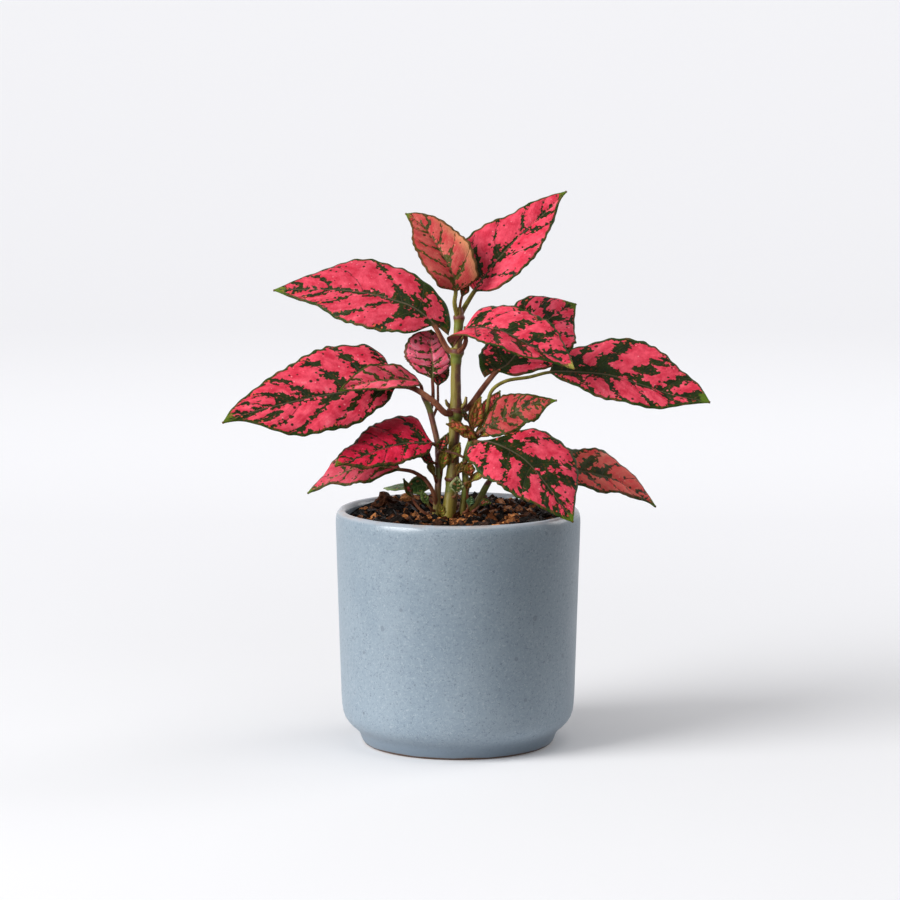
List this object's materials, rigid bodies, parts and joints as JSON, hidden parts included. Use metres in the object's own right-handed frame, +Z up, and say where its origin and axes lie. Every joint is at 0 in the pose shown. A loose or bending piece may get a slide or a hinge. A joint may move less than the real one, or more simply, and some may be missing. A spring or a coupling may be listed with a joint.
{
  "type": "potted polka dot plant",
  "caption": "Small branching foliage plant with spotted pink and green leaves, growing in soil in a round straight-sided stoneware pot.",
  "frame": {"origin": "centre of the pot's flat underside, where it stands", "axes": "+Z up along the pot's axis, -Y towards the viewer's side of the plant, +X to that viewer's right"},
  "size_m": [0.216, 0.11, 0.248],
  "materials": {
    "stoneware": "matt blue-grey glaze with fine dark specks and a slightly glossier lip",
    "soil": "dark potting mix with bark chips",
    "stem": "satin green with purple-brown streaks",
    "pink_leaf": "satin, pink patches in a dark green network",
    "red_leaf": "satin, deep red patches in a dark green network",
    "young_leaf": "satin, salmon with olive veins",
    "green_leaf": "satin green"
  },
  "bodies": {
    "root": {"pot": "stoneware", "soil": "soil", "stem_main": "stem", "stem_left": "stem", "stem_right": "stem", "leaf_top_right": "pink_leaf", "leaf_top_left": "young_leaf", "leaf_upper_left": "pink_leaf", "leaf_upper_right": "pink_leaf", "leaf_back_right": "pink_leaf", "leaf_far_right": "pink_leaf", "leaf_middle_right": "pink_leaf", "leaf_front_right": "pink_leaf", "leaf_low_right": "pink_leaf", "leaf_far_left": "pink_leaf", "leaf_middle_left": "pink_leaf", "leaf_upright": "pink_leaf", "leaf_low_left": "red_leaf", "leaf_lowest_left": "pink_leaf", "small_leaf_behind_shoot": "pink_leaf", "small_leaf_shoot_right": "red_leaf", "small_leaf_across": "red_leaf", "small_leaf_pale_edge": "red_leaf", "small_leaf_base_green": "green_leaf", "small_leaf_back_rim": "green_leaf", "small_leaf_round_red": "red_leaf", "small_leaf_curled": "red_leaf", "small_leaf_heart": "green_leaf", "small_leaf_base_pale": "green_leaf", "small_leaf_base_left": "green_leaf", "small_leaf_narrow": "red_leaf", "small_leaf_bud": "young_leaf"}
  },
  "joints": []
}
